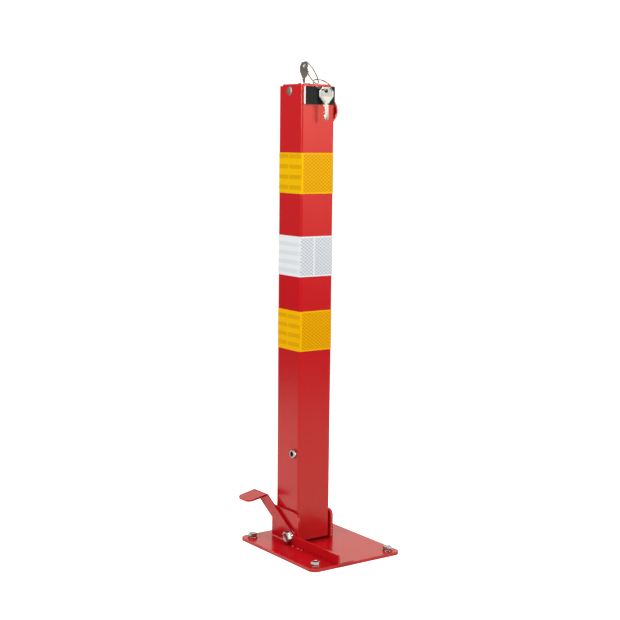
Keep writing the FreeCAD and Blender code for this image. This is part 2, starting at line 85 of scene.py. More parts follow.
def mark_edges(mesh, first_turn=math.radians(23), full_turn=math.radians(29), broadest=0.0009):
    """Store how sharply the surface turns at each narrow face, from 0 to 1, as a face value; the coat paints
    those edges lighter, as wear and as painted highlight.
    """
    form = bmesh.new()
    form.from_mesh(mesh)
    turns = []
    for face in form.faces:
        narrow = 2 * face.calc_area() < broadest * face.calc_perimeter()
        turn = max(edge.calc_face_angle(0.0) for edge in face.edges)
        sharp = (turn - first_turn) / (full_turn - first_turn)
        turns.append(min(max(sharp, 0.0), 1.0) if narrow else 0.0)
    form.free()
    edge_wear_and_highlight = mesh.attributes.new("edge_wear_and_highlight", "FLOAT", "FACE")
    edge_wear_and_highlight.data.foreach_set("value", turns)


def rounded(piece, edge, sharp_angle=math.radians(32), steps=3):
    """Round a piece's sharp edges, leave its flat faces flat and mark where the surface turns."""
    rounding = piece.modifiers.new("rounding", "BEVEL")
    rounding.width = edge
    rounding.segments = steps
    rounding.limit_method = "ANGLE"
    rounding.angle_limit = sharp_angle
    flatten = piece.modifiers.new("flat faces stay flat", "WEIGHTED_NORMAL")
    flatten.keep_sharp = False
    flatten.weight = 100
    bpy.context.view_layer.update()
    plain_mesh(piece)
    mark_edges(piece.data)
    return piece


def softened(node, edge, same_point=1e-6, same_plane=math.radians(0.4)):
    """A copy of a CAD node whose cut edges are rounded, as paint or plating leaves them."""
    mesh = nodes[node].data.copy()
    form = bmesh.new()
    form.from_mesh(mesh)
    bmesh.ops.remove_doubles(form, verts=form.verts, dist=same_point)
    bmesh.ops.dissolve_limit(form, angle_limit=same_plane, verts=form.verts, edges=form.edges)
    for face in form.faces:
        face.smooth = True
    form.to_mesh(mesh)
    form.free()
    return rounded(link(bpy.data.objects.new(node + "_finish", mesh)), edge)


def dress(piece, material):
    """Give a piece one material, unless it was made with that one among its own."""
    if material.name not in piece.data.materials:
        piece.data.materials.clear()
        piece.data.materials.append(material)


def stand_for(piece, node, material):
    """Dress a piece, let it ride where its CAD node rides and show it in that node's place."""
    dress(piece, material)
    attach(piece, nodes[node]["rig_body"])
    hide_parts(node)


def add(tree, kind, x, y, **values):
    """One node with its settings and its unlinked input values."""
    node = tree.nodes.new(kind)
    node.location = (x, y)
    for name, value in values.items():
        if hasattr(node, name):
            setattr(node, name, value)
        else:
            node.inputs[name.replace("_", " ")].default_value = value
    return node


def socket(group, name, way, kind="NodeSocketFloat", value=None):
    """A named input or output of a node group."""
    made = group.interface.new_socket(name=name, in_out=way, socket_type=kind)
    if value is not None:
        made.default_value = value


def coat_group():
    """A sprayed or plated coat: cloudy colour, uneven gloss, a fine peel and edges painted lighter in
    patches, partly as wear and partly as painted highlight.
    """
    patch_scale = 90.0
    cloud_scale = 11.0
    gloss_change = 0.09
    peel_height = 0.0004
    group = bpy.data.node_groups.new("thin_coat", "ShaderNodeTree")
    socket(group, "Colour", "INPUT", "NodeSocketColor", (0.5, 0.02, 0.02, 1))
    socket(group, "Cloud Colour", "INPUT", "NodeSocketColor", (0.3, 0.01, 0.01, 1))
    socket(group, "Cloud", "INPUT", value=0.12)
    socket(group, "Rub Colour", "INPUT", "NodeSocketColor", (0.7, 0.1, 0.1, 1))
    socket(group, "Rub", "INPUT", value=0.3)
    socket(group, "Gloss", "INPUT", value=0.35)
    socket(group, "Peel Scale", "INPUT", value=900.0)
    socket(group, "Peel Depth", "INPUT", value=0.1)
    socket(group, "Colour", "OUTPUT", "NodeSocketColor")
    socket(group, "Roughness", "OUTPUT")
    socket(group, "Normal", "OUTPUT", "NodeSocketVector")
    given = add(group, "NodeGroupInput", -1100, 0)
    place = add(group, "ShaderNodeTexCoord", -1100, -350)
    turn = add(group, "ShaderNodeAttribute", -850, 450, attribute_name="edge_wear_and_highlight")
    patches = add(group, "ShaderNodeTexNoise", -850, 650, Scale=patch_scale, Detail=5.0)
    patch_edge = add(group, "ShaderNodeMapRange", -650, 650, From_Min=0.36, From_Max=0.56)
    edge_wear_and_highlight_mask = add(group, "ShaderNodeMath", -450, 550, operation="MULTIPLY")
    edge_wear_and_highlight_amount = add(group, "ShaderNodeMath", -250, 500, operation="MULTIPLY")
    cloud = add(group, "ShaderNodeTexNoise", -850, 150, Scale=cloud_scale, Detail=5.0)
    peel = add(group, "ShaderNodeTexNoise", -850, -200, Detail=2.0)
    spread = add(group, "ShaderNodeMath", -450, 150, operation="MULTIPLY")
    clouded = add(group, "ShaderNodeMix", -250, 250, data_type="RGBA")
    # Turned edges take the lighter colour in patches: partly wear, partly painted highlight.
    with_edge_wear_and_highlight = add(group, "ShaderNodeMix", 0, 300, data_type="RGBA")
    gloss = add(group, "ShaderNodeMath", -250, -20, operation="MULTIPLY_ADD")
    bump = add(group, "ShaderNodeBump", -250, -250, Distance=peel_height)
    out = add(group, "NodeGroupOutput", 250, 0)
    join = group.links.new
    for texture in (patches, cloud, peel):
        join(place.outputs["Object"], texture.inputs["Vector"])
    join(patches.outputs["Fac"], patch_edge.inputs["Value"])
    join(turn.outputs["Fac"], edge_wear_and_highlight_mask.inputs[0])
    join(patch_edge.outputs["Result"], edge_wear_and_highlight_mask.inputs[1])
    join(edge_wear_and_highlight_mask.outputs[0], edge_wear_and_highlight_amount.inputs[0])
    join(given.outputs["Rub"], edge_wear_and_highlight_amount.inputs[1])
    join(given.outputs["Peel Scale"], peel.inputs["Scale"])
    join(cloud.outputs["Fac"], spread.inputs[0])
    join(given.outputs["Cloud"], spread.inputs[1])
    join(spread.outputs[0], clouded.inputs["Factor"])
    join(given.outputs["Colour"], clouded.inputs["A"])
    join(given.outputs["Cloud Colour"], clouded.inputs["B"])
    join(edge_wear_and_highlight_amount.outputs[0], with_edge_wear_and_highlight.inputs["Factor"])
    join(clouded.outputs["Result"], with_edge_wear_and_highlight.inputs["A"])
    join(given.outputs["Rub Colour"], with_edge_wear_and_highlight.inputs["B"])
    join(cloud.outputs["Fac"], gloss.inputs[0])
    gloss.inputs[1].default_value = gloss_change
    join(given.outputs["Gloss"], gloss.inputs[2])
    join(peel.outputs["Fac"], bump.inputs["Height"])
    join(given.outputs["Peel Depth"], bump.inputs["Strength"])
    join(with_edge_wear_and_highlight.outputs["Result"], out.inputs["Colour"])
    join(gloss.outputs[0], out.inputs["Roughness"])
    join(bump.outputs["Normal"], out.inputs["Normal"])
    return group


thin_coat = coat_group()


def coated(name, metallic, specular, **values):
    """A material made of the thin-coat group on a Principled shader."""
    material = bpy.data.materials.new(name)
    material.use_nodes = True
    tree = material.node_tree
    shader = tree.nodes["Principled BSDF"]
    shader.inputs["Metallic"].default_value = metallic
    shader.inputs["Specular IOR Level"].default_value = specular
    skin = add(tree, "ShaderNodeGroup", -300, 0, node_tree=thin_coat)
    for socket_name, value in values.items():
        skin.inputs[socket_name.replace("_", " ")].default_value = value
    tree.links.new(skin.outputs["Colour"], shader.inputs["Base Color"])
    tree.links.new(skin.outputs["Roughness"], shader.inputs["Roughness"])
    tree.links.new(skin.outputs["Normal"], shader.inputs["Normal"])
    return material


# The red coat's lighter edge colour is partly paint worn thin and partly painted highlight.
red_coat = coated("red_powder_coat", 0.0, 0.5, Colour=(0.60, 0.005, 0.012, 1),
                  Cloud_Colour=(0.46, 0.004, 0.009, 1), Cloud=0.3, Rub_Colour=(0.78, 0.17, 0.14, 1), Rub=0.8,
                  Gloss=0.15, Peel_Scale=700.0, Peel_Depth=0.16)
warm_sheen = (1.0, 0.98, 0.74, 1)
red_coat.node_tree.nodes["Principled BSDF"].inputs["Specular Tint"].default_value = warm_sheen
sheet_edges = {"base_plate": 0.0007, "cheek_left": 0.0006, "cheek_right": 0.0006, "back_stop": 0.0005}
for sheet_node, sheet_edge in sheet_edges.items():
    stand_for(softened(sheet_node, sheet_edge), sheet_node, red_coat)


# Weld beads: rippled runs along the feet of the cheeks and the stop, up the nose of the right cheek and
# along both ends of the handle, with a few drops of spatter by the lever. The coat went over them; their
# lighter red clouded with pale pink is painted highlight.
def piece_tree(name, inputs):
    """A Geometry Nodes tree with inputs of these names and kinds, then a finish, and one mesh out."""
    tree = bpy.data.node_groups.new(name, "GeometryNodeTree")
    socket(tree, "Geometry", "INPUT", "NodeSocketGeometry")
    for label, kind in inputs:
        socket(tree, label, "INPUT", "NodeSocket" + kind)
    socket(tree, "Finish", "INPUT", "NodeSocketMaterial")
    socket(tree, "Geometry", "OUTPUT", "NodeSocketGeometry")
    return tree


def put_out(tree, given, made, x, y=0):
    """End a tree: make its instances real and give the mesh its finish."""
    real = add(tree, "GeometryNodeRealizeInstances", x, y)
    paint = add(tree, "GeometryNodeSetMaterial", x + 200, y)
    out = add(tree, "NodeGroupOutput", x + 400, y)
    tree.links.new(made, real.inputs["Geometry"])
    tree.links.new(real.outputs["Geometry"], paint.inputs["Geometry"])
    tree.links.new(given.outputs["Finish"], paint.inputs["Material"])
    tree.links.new(paint.outputs["Geometry"], out.inputs["Geometry"])


def weld_tree():
    """Flattened drops along a straight run, each a little different in size, strewn about it if asked."""
    tree = piece_tree("weld_bead", (("Start", "Vector"), ("End", "Vector"), ("Drops", "Int"),
                                    ("Drop Size", "Vector"), ("Scatter", "Vector")))
    given = add(tree, "NodeGroupInput", -800, 0)
    run = add(tree, "GeometryNodeMeshLine", -550, 100, mode="END_POINTS")
    drop = add(tree, "GeometryNodeMeshUVSphere", -550, -150, Segments=14, Rings=9, Radius=1.0)
    smooth = add(tree, "GeometryNodeSetShadeSmooth", -350, -150)
    vary = add(tree, "FunctionNodeRandomValue", -550, -400, data_type="FLOAT", Min=0.78, Max=1.0, Seed=7)
    size = add(tree, "ShaderNodeVectorMath", -350, -350, operation="SCALE")
    stray = add(tree, "FunctionNodeRandomValue", -550, 400, data_type="FLOAT_VECTOR", Seed=4)
    stray.inputs["Min"].default_value = (-1, -1, -1)
    apart = add(tree, "ShaderNodeVectorMath", -350, 350, operation="MULTIPLY")
    strewn = add(tree, "GeometryNodeSetPosition", -250, 150)
    place = add(tree, "GeometryNodeInstanceOnPoints", -100, 0)
    join = tree.links.new
    join(given.outputs["Start"], run.inputs["Start Location"])
    join(given.outputs["End"], run.inputs["Offset"])
    join(given.outputs["Drops"], run.inputs["Count"])
    join(drop.outputs["Mesh"], smooth.inputs["Geometry"])
    join(given.outputs["Drop Size"], size.inputs[0])
    join(vary.outputs[1], size.inputs["Scale"])
    join(stray.outputs[0], apart.inputs[0])
    join(given.outputs["Scatter"], apart.inputs[1])
    join(run.outputs["Mesh"], strewn.inputs["Geometry"])
    join(apart.outputs["Vector"], strewn.inputs["Offset"])
    join(strewn.outputs["Geometry"], place.inputs["Points"])
    join(smooth.outputs["Geometry"], place.inputs["Instance"])
    join(size.outputs["Vector"], place.inputs["Scale"])
    put_out(tree, given, place.outputs["Instances"], 100)
    return tree


def grown(name, tree, values):
    """A plain mesh made by a Geometry Nodes tree with these named inputs."""
    piece = link(bpy.data.objects.new(name, bpy.data.meshes.new(name)))
    growth = piece.modifiers.new("growth", "NODES")
    growth.node_group = tree
    for item in tree.interface.items_tree:
        if item.item_type == "SOCKET" and item.in_out == "INPUT" and item.name in values:
            growth[item.identifier] = values[item.name]
    bpy.context.view_layer.update()
    return plain_mesh(piece)


weld_bead = weld_tree()
# Lighter red clouded with pale pink on the beads: painted highlight.
weld_coat_painted_highlight = coated("coated_weld_painted_highlight", 0.0, 0.5, Colour=(0.70, 0.05, 0.045, 1), Cloud_Colour=(0.82, 0.24, 0.20, 1),
                   Cloud=0.9, Rub=0.0, Gloss=0.10, Peel_Scale=900.0, Peel_Depth=0.3)
plate_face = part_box("base_plate")[1].z
left_low, left_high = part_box("cheek_left")
right_low, right_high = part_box("cheek_right")
stop_low, stop_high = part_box("back_stop")
handle_low, handle_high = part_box("lift_handle")
hinge_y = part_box("hinge_bolt")[0].lerp(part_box("hinge_bolt")[1], 0.5).y
bead_end = 0.002
bare_toe = 0.036
foot_side = (0.0022, 0.0019, 0.0016)
foot_back = (0.0019, 0.0022, 0.0016)
nose_drop = (0.0014, 0.0019, 0.0024)
nose_x = right_low.x + 0.0008
nose_foot = plate_face + 0.006
nose_top = right_high.z - 0.011
speck = (0.0016, 0.0022, 0.0012)
speck_x = left_low.x - 0.0074
speck_near = hinge_y - 0.016
speck_far = hinge_y - 0.036
speck_scatter = (0.0006, 0.0042, 0.0)
in_line = (0.0, 0.0, 0.0)
pipe_drop = (0.0012, 0.0013, 0.0022)
pipe_inset = 0.0012
pipe_ends = (("weld_handle_low", handle_low.z + pipe_inset), ("weld_handle_high", handle_high.z - pipe_inset))
weld_runs = [
    ("weld_left", "base", foot_side, 26, in_line,
     (left_low.x, left_high.y - bead_end, plate_face), (left_low.x, left_low.y + bare_toe, plate_face)),
    ("weld_right", "base", foot_side, 40, in_line,
     (right_high.x, right_high.y - bead_end, plate_face),
     (right_high.x, right_low.y + 2 * bead_end, plate_face)),
    ("weld_stop", "base", foot_back, 38, in_line,
     (stop_low.x + bead_end, stop_high.y, plate_face), (stop_high.x - bead_end, stop_high.y, plate_face)),
    ("weld_nose", "base", nose_drop, 7, in_line,
     (nose_x, right_low.y, nose_foot), (nose_x, right_low.y, nose_top)),
    ("weld_specks", "base", speck, 4, speck_scatter,
     (speck_x, speck_near, plate_face), (speck_x, speck_far, plate_face)),
]
for pipe_name, pipe_z in pipe_ends:
    weld_runs.append((pipe_name, "post", pipe_drop, 12, in_line,
                      (handle_low.x, handle_low.y + bead_end, pipe_z),
                      (handle_low.x, handle_high.y - bead_end, pipe_z)))
for weld_name, weld_body, drop_size, drops, scatter, start, end in weld_runs:
    bead = grown(weld_name, weld_bead, {"Start": start, "End": end, "Drops": drops, "Drop Size": drop_size,
                                        "Scatter": scatter, "Finish": weld_coat_painted_highlight})
    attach(bead, weld_body)


# Anchor bolts: zinc-plated hexagon bolts with chamfered heads on flat washers, one near each corner of the
# plate, turned as the spanner left them. Their rolled threads go down into the ground.
zinc_plate = coated("zinc_plate", 1.0, 0.5, Colour=(0.66, 0.66, 0.64, 1), Cloud_Colour=(0.36, 0.36, 0.35, 1),
                    Cloud=0.8, Rub_Colour=(0.70, 0.70, 0.69, 1), Rub=0.5, Gloss=0.18, Peel_Scale=1800.0,
                    Peel_Depth=0.12)
round_steps = 48
crease = math.radians(28)


def ring(radius, z):
    """Points on a circle at one height; the radius is a number, or a function of the angle."""
    angles = [2 * math.pi * step / round_steps for step in range(round_steps)]
    sizes = [radius(angle) if callable(radius) else radius for angle in angles]
    return [(size * math.cos(angle), size * math.sin(angle), z) for size, angle in zip(sizes, angles)]


def rings_to_mesh(name, rings):
    """Close a stack of rings, each with the same number of points, into a smooth-sided solid."""
    count = len(rings[0])
    points = [point for level in rings for point in level]
    faces = [tuple(reversed(range(count))), tuple(range(len(points) - count, len(points)))]
    for level in range(len(rings) - 1):
        for step in range(count):
            here = level * count + step
            beside = level * count + (step + 1) % count
            faces.append((here, beside, beside + count, here + count))
    mesh = bpy.data.meshes.new(name)
    mesh.from_pydata(points, [], faces)
    mesh.polygons.foreach_set("use_smooth", [True] * len(faces))
    mesh.set_sharp_from_angle(angle=crease)
    return mesh


thread_pitch = 0.00125
thread_root = 0.86
seat_share = 0.95
seat_height = 0.0004
chamfer_share = 0.94
crown_share = 0.92
dish_share = 0.70
dish_floor_share = 0.62
dish_depth = 0.0003


def hex_bolt(name, flats, head, shank_radius, shank, thread_radius=0.0, thread=0.0):
    """A bolt along Z whose head stands on z = 0, with a plain shank and then a thread below.
    The shares are of the head's half width: its seat, its chamfer and the dish forged in its top."""
    apothem = flats / 2
    sixth = math.pi / 3
    chamfer = math.tan(math.radians(30))

    def hex_radius(angle):
        return apothem / math.cos((angle + sixth / 2) % sixth - sixth / 2)
    rings = []
    for ridge in range(int(thread / thread_pitch)):
        z = ridge * thread_pitch - shank - thread
        rings.append(ring(thread_radius * thread_root, z))
        rings.append(ring(thread_radius, z + thread_pitch / 2))
    rings += [ring(shank_radius, -shank), ring(shank_radius, 0)]
    rings += [ring(apothem * seat_share, 0), ring(hex_radius, seat_height)]
    upper = []
    for x, y, z in ring(hex_radius, head):
        upper.append((x, y, z - (math.hypot(x, y) - apothem * chamfer_share) * chamfer))
    rings += [upper, ring(apothem * crown_share, head), ring(apothem * dish_share, head)]
    rings.append(ring(apothem * dish_floor_share, head - dish_depth))
    return rings_to_mesh(name, rings)


def corner_tree():
    """One bolt at each corner of a rectangle, each turned by its own angle."""
    tree = piece_tree("bolt_corners", (("Bolt", "Object"), ("Spacing X", "Float"), ("Spacing Y", "Float"),
                                       ("Seat", "Vector")))
    given = add(tree, "NodeGroupInput", -800, 0)
    corners = add(tree, "GeometryNodeMeshGrid", -550, 150, Vertices_X=2, Vertices_Y=2)
    seat = add(tree, "GeometryNodeTransform", -350, 150)
    bolt = add(tree, "GeometryNodeObjectInfo", -550, -150)
    turn = add(tree, "FunctionNodeRandomValue", -550, -400, data_type="FLOAT_VECTOR", Seed=4)
    turn.inputs[0].default_value = (0, 0, 0)
    turn.inputs[1].default_value = (0, 0, math.pi / 3)
    place = add(tree, "GeometryNodeInstanceOnPoints", -100, 0)
    join = tree.links.new
    join(given.outputs["Spacing X"], corners.inputs["Size X"])
    join(given.outputs["Spacing Y"], corners.inputs["Size Y"])
    join(corners.outputs["Mesh"], seat.inputs["Geometry"])
    join(given.outputs["Seat"], seat.inputs["Translation"])
    join(given.outputs["Bolt"], bolt.inputs["Object"])
    join(seat.outputs["Geometry"], place.inputs["Points"])
    join(bolt.outputs["Geometry"], place.inputs["Instance"])
    join(turn.outputs[0], place.inputs["Rotation"])
    put_out(tree, given, place.outputs["Instances"], 100)
    return tree


anchor_low, anchor_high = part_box("anchor_bolts")
washer_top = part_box("anchor_washers")[1].z
anchor_sizes = next(mount for mount in frame["record"]["mounts"] if mount["name"] == "anchor")["dims"]
spacing_x = anchor_sizes["spacing_x_mm"] / 1000
spacing_y = anchor_sizes["spacing_y_mm"] / 1000
anchor_flats = min(anchor_high.x - anchor_low.x - spacing_x, anchor_high.y - anchor_low.y - spacing_y)
anchor_shank = 0.0036
washer_edge = 0.0003
anchor_mesh = hex_bolt("one_anchor", anchor_flats, anchor_high.z - washer_top, anchor_shank, washer_top,
                       anchor_sizes["stud_r_mm"] / 1000, -anchor_low.z)
one_anchor = bpy.data.objects.new("one_anchor", anchor_mesh)
anchor_set = grown("anchor_set", corner_tree(), {"Bolt": one_anchor, "Spacing X": spacing_x,
                                                 "Spacing Y": spacing_y, "Seat": (0, 0, washer_top),
                                                 "Finish": zinc_plate})
bpy.data.objects.remove(one_anchor)
stand_for(anchor_set, "anchor_bolts", zinc_plate)
stand_for(softened("anchor_washers", washer_edge), "anchor_washers", zinc_plate)


# Foot lever and hinge: one laser-cut plate with a bent pedal and a bent tab, coated red. It turns on a
# zinc-plated hexagon bolt with washers on both sides, which is screwed into the right cheek.
lever_edge = 0.0007
stand_for(softened("pedal_lever", lever_edge), "pedal_lever", red_coat)
stand_for(softened("hinge_washers", washer_edge), "hinge_washers", zinc_plate)


def lay_left(piece, x, y, z):
    """Lay a piece that was made along Z down to point to the left from a place."""
    piece.data.transform(Matrix.Translation((x, y, z)) @ Matrix.Rotation(math.radians(-90), 4, "Y"))


axle_low, axle_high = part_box("hinge_bolt")
axle_middle = (axle_low + axle_high) / 2
axle_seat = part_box("hinge_washers")[0].x
axle_radius = 0.005
axle_mesh = hex_bolt("axle", axle_high.z - axle_low.z, axle_seat - axle_low.x, axle_radius,
                     axle_high.x - axle_seat)
axle_bolt = link(bpy.data.objects.new("axle_bolt", axle_mesh))
lay_left(axle_bolt, axle_seat, axle_middle.y, axle_middle.z)
stand_for(axle_bolt, "hinge_bolt", zinc_plate)


# Post: drawn square tube with its own rounded corners, in the same red coat, with a pressed steel cap in
# its mouth. The handle is half a slice of pipe welded to the right wall.
post_edges = (("post_tube", 0.0004, "red_paint"), ("lift_handle", 0.0006, "red_paint"),
              ("top_cap", 0.0005, "cap_paint"))
for post_node, post_edge, post_slot in post_edges:
    stand_for(softened(post_node, post_edge), post_node, red_coat)


# Screws in the left wall: a low domed cross-recess screw holds the cap, and a socket-head screw with a
# knurled rim holds the rod guide inside; its socket is painted near black as shade. Both are zinc plated, one
# of them dull.
def slab(outline, low, high, place=Matrix()):
    """A closed prism over an outline of (x, y) points, from one height to another, set by a matrix."""
    form = bmesh.new()
    base = form.faces.new([form.verts.new((x, y, low)) for x, y in outline])
    lifted = bmesh.ops.extrude_face_region(form, geom=[base])["geom"]
    upper = [point for point in lifted if isinstance(point, bmesh.types.BMVert)]
    bmesh.ops.translate(form, vec=(0, 0, high - low), verts=upper)
    bmesh.ops.recalc_face_normals(form, faces=form.faces)
    mesh = bpy.data.meshes.new("slab")
    form.to_mesh(mesh)
    form.free()
    mesh.transform(place)
    return link(bpy.data.objects.new("slab", mesh))


def carved(piece, cutters):
    """Cut closed shapes out of a piece."""
    for cutter in cutters:
        cut = piece.modifiers.new("cut", "BOOLEAN")
        cut.operation = "DIFFERENCE"
        cut.solver = "EXACT"
        cut.material_mode = "TRANSFER"
        cut.object = cutter
        bpy.context.view_layer.update()
        plain_mesh(piece)
        bpy.data.objects.remove(cutter)
    piece.data.set_sharp_from_angle(angle=crease)
    return piece


def bar(length, width):
    """The corners of a rectangle about the origin."""
    x, y = length / 2, width / 2
    return [(-x, -y), (x, -y), (x, y), (-x, y)]


cap_screw_low, cap_screw_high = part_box("cap_screw")
wall_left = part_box("post_tube")[0].x
dome_radius = (cap_screw_high.y - cap_screw_low.y) / 2
dome_height = wall_left - cap_screw_low.x
dome_foot = dome_radius * 0.99
dome_rim = 12
dome_steps = 7
cap_screw_shank = 0.003
cross_length = 0.0072
cross_width = 0.0013
cross_depth = 0.0008
cut_over = 0.001
dome_rings = [ring(cap_screw_shank, wall_left - cap_screw_high.x), ring(cap_screw_shank, 0),
              ring(dome_foot, 0)]
for step in range(dome_steps):
    rise_angle = math.radians(dome_rim + (90 - dome_rim) * step / dome_steps)
    dome_rings.append(ring(dome_radius * math.cos(rise_angle), dome_height * math.sin(rise_angle)))
domed_screw = link(bpy.data.objects.new("domed_screw", rings_to_mesh("dome", dome_rings)))
cross_bars = (bar(cross_length, cross_width), bar(cross_width, cross_length))
carved(domed_screw, [slab(sides, dome_height - cross_depth, dome_height + cut_over) for sides in cross_bars])
lay_left(domed_screw, wall_left, (cap_screw_low.y + cap_screw_high.y) / 2,
         (cap_screw_low.z + cap_screw_high.z) / 2)
dull_zinc = coated("dull_zinc", 1.0, 0.5, Colour=(0.74, 0.73, 0.66, 1), Cloud_Colour=(0.44, 0.44, 0.38, 1),
                   Cloud=0.9, Rub=0.0, Gloss=0.36, Peel_Scale=1500.0, Peel_Depth=0.4)
stand_for(domed_screw, "cap_screw", dull_zinc)

socket_low, socket_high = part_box("guide_screw")
rim_radius = (socket_high.y - socket_low.y) / 2
rim_height = wall_left - socket_low.x
guide_shank = 0.004
rim_foot = rim_radius * 0.95
knurl_foot = 0.0003
knurl_top = rim_height - 0.0009
knurl_depth = 0.00025
rim_shoulder = rim_radius * 0.93
shoulder_height = rim_height - 0.0004
rim_top = rim_radius * 0.87
socket_flats = 0.0082
socket_corner = socket_flats / math.sqrt(3)
socket_depth = 0.003


def knurled(angle):
    """The radius of a rim of fine ridges."""
    return rim_radius - knurl_depth * (0.5 + 0.5 * math.cos(angle * round_steps / 2))


socket_rings = [ring(guide_shank, wall_left - socket_high.x), ring(guide_shank, 0), ring(rim_foot, 0),
                ring(knurled, knurl_foot), ring(knurled, knurl_top), ring(rim_shoulder, shoulder_height),
                ring(rim_top, rim_height)]
socket_screw = link(bpy.data.objects.new("socket_screw", rings_to_mesh("rim", socket_rings)))
# Near-black walls in the hex socket: painted shade in the recess.
socket_painted_shade = coated("socket_painted_shade", 0.0, 0.3, Colour=(0.012, 0.012, 0.012, 1),
                     Cloud_Colour=(0.03, 0.03, 0.03, 1), Cloud=0.5, Rub=0.0, Gloss=0.4, Peel_Scale=1500.0,
                     Peel_Depth=0.1)
hex_turns = [math.pi * corner / 3 for corner in range(6)]
hex_outline = [(socket_corner * math.cos(turn), socket_corner * math.sin(turn)) for turn in hex_turns]
hex_recess = slab(hex_outline, rim_height - socket_depth, rim_height + cut_over)
hex_recess.data.materials.append(socket_painted_shade)
socket_screw.data.materials.append(zinc_plate)
carved(socket_screw, [hex_recess])
lay_left(socket_screw, wall_left, (socket_low.y + socket_high.y) / 2, (socket_low.z + socket_high.z) / 2)
stand_for(socket_screw, "guide_screw", zinc_plate)


# Lock: a polished barrel whose collar sits on the cap, clamped from below by a thin nut, and a turned brass
# plug with the keyway.
chrome = coated("lock_chrome", 1.0, 0.5, Colour=(0.50, 0.50, 0.50, 1), Cloud_Colour=(0.36, 0.36, 0.36, 1),
                Cloud=0.3, Rub=0.0, Gloss=0.12, Peel_Scale=1500.0, Peel_Depth=0.05)
brass = coated("lock_brass", 1.0, 0.5, Colour=(0.72, 0.55, 0.24, 1), Cloud_Colour=(0.5, 0.36, 0.14, 1),
               Cloud=0.4, Rub_Colour=(0.8, 0.65, 0.34, 1), Rub=0.4, Gloss=0.25, Peel_Scale=1500.0,
               Peel_Depth=0.06)
lock_parts = (("lock_barrel", 0.0003, chrome, "lock_chrome"), ("lock_plug", 0.0002, brass, "lock_brass"),
              ("lock_nut", 0.0003, zinc_plate, "zinc"))
for lock_node, lock_edge, lock_finish, lock_slot in lock_parts:
    stand_for(softened(lock_node, lock_edge), lock_node, lock_finish)


# Keys: blanks stamped from sheet, cut on one edge and nickel plated. Each face of the bow has a sunk panel
# inside a raised rim, and each face of the blade a milled channel.
nickel = coated("nickel_plate", 1.0, 0.5, Colour=(0.57, 0.57, 0.55, 1), Cloud_Colour=(0.42, 0.41, 0.39, 1),
                Cloud=0.6, Rub_Colour=(0.72, 0.71, 0.68, 1), Rub=0.7, Gloss=0.24, Peel_Scale=900.0,
                Peel_Depth=0.2)
# A slightly darker nickel for the sunk panels, channels and notch walls: painted shade in the recesses.
sunk_nickel_painted_shade = coated("sunk_nickel_painted_shade", 1.0, 0.5, Colour=(0.55, 0.55, 0.52, 1),
                     Cloud_Colour=(0.38, 0.37, 0.35, 1), Cloud=0.6, Rub=0.0, Gloss=0.34, Peel_Scale=2400.0,
                     Peel_Depth=0.3)
key_edge = 0.00012
key_rim = 0.0019
notch_radius = 0.0011
notch_half = 0.0029
notch_rise = 0.0024
notch_reach = 0.002
notch_steps = 16
panel_depth = 0.0003
channel_width = 0.0016
channel_depth = 0.0004
channel_offset = 0.0007
bow_height = 0.0223
shoulder_drop = 0.0271
tip_margin = 0.003


def key_place(node):
    """Where a key is, with X across its bow, Y down its blade and Z through its thickness, from the top of
    its middle; then its length and half its thickness."""
    mesh = nodes[node].data
    through = max(mesh.polygons, key=lambda face: face.area).normal.copy()
    through.z = 0
    through.normalize()
    down = Vector((0, 0, -1))
    across = down.cross(through)
    turned = Matrix((across, down, through)).to_4x4()
    points = [turned @ point.co for point in mesh.vertices]
    lows = [min(point[axis] for point in points) for axis in range(3)]
    highs = [max(point[axis] for point in points) for axis in range(3)]
    top = Vector(((lows[0] + highs[0]) / 2, lows[1], (lows[2] + highs[2]) / 2))
    return turned.inverted() @ Matrix.Translation(top), highs[1] - lows[1], (highs[2] - lows[2]) / 2


def stamped(node):
    """A key with its panels and channels cut into both faces and a round notch on each side of its neck."""
    place, length, half = key_place(node)
    inside = place.inverted()
    piece = softened(node, key_edge)
    points = [inside @ vertex.co for vertex in nodes[node].data.vertices]
    bow = [(point.x, point.y) for point in points if point.y < bow_height]
    hull = [Vector(bow[index]) for index in convex_hull_2d(bow)]
    middle = Vector((0, bow_height / 2))
    shrink = 1 - 2 * key_rim / bow_height
    panel = [tuple(middle + (corner - middle) * shrink) for corner in hull]
    channel_end = length - tip_margin
    bends = [2 * math.pi * step / notch_steps for step in range(notch_steps)]
    cutters = []
    for side in (-1, 1):
        notch = [(side * notch_half + notch_radius * math.cos(bend),
                  shoulder_drop - notch_rise + notch_radius * math.sin(bend)) for bend in bends]
        cutters.append(slab(notch, -notch_reach, notch_reach, place))
        left = side * channel_offset - channel_width / 2
        right = left + channel_width
        channel = [(left, shoulder_drop), (right, shoulder_drop), (right, channel_end), (left, channel_end)]
        for outline, depth in ((panel, panel_depth), (channel, channel_depth)):
            levels = sorted((side * (half - depth), side * (half + cut_over)))
            cutters.append(slab(outline, *levels, place))
    # The cut faces take the darker nickel as painted shade.
    for cutter in cutters:
        cutter.data.materials.append(sunk_nickel_painted_shade)
    piece.data.materials.append(nickel)
    return carved(piece, cutters)


for key_node in ("lock_key", "spare_key"):
    stand_for(stamped(key_node), key_node, nickel)


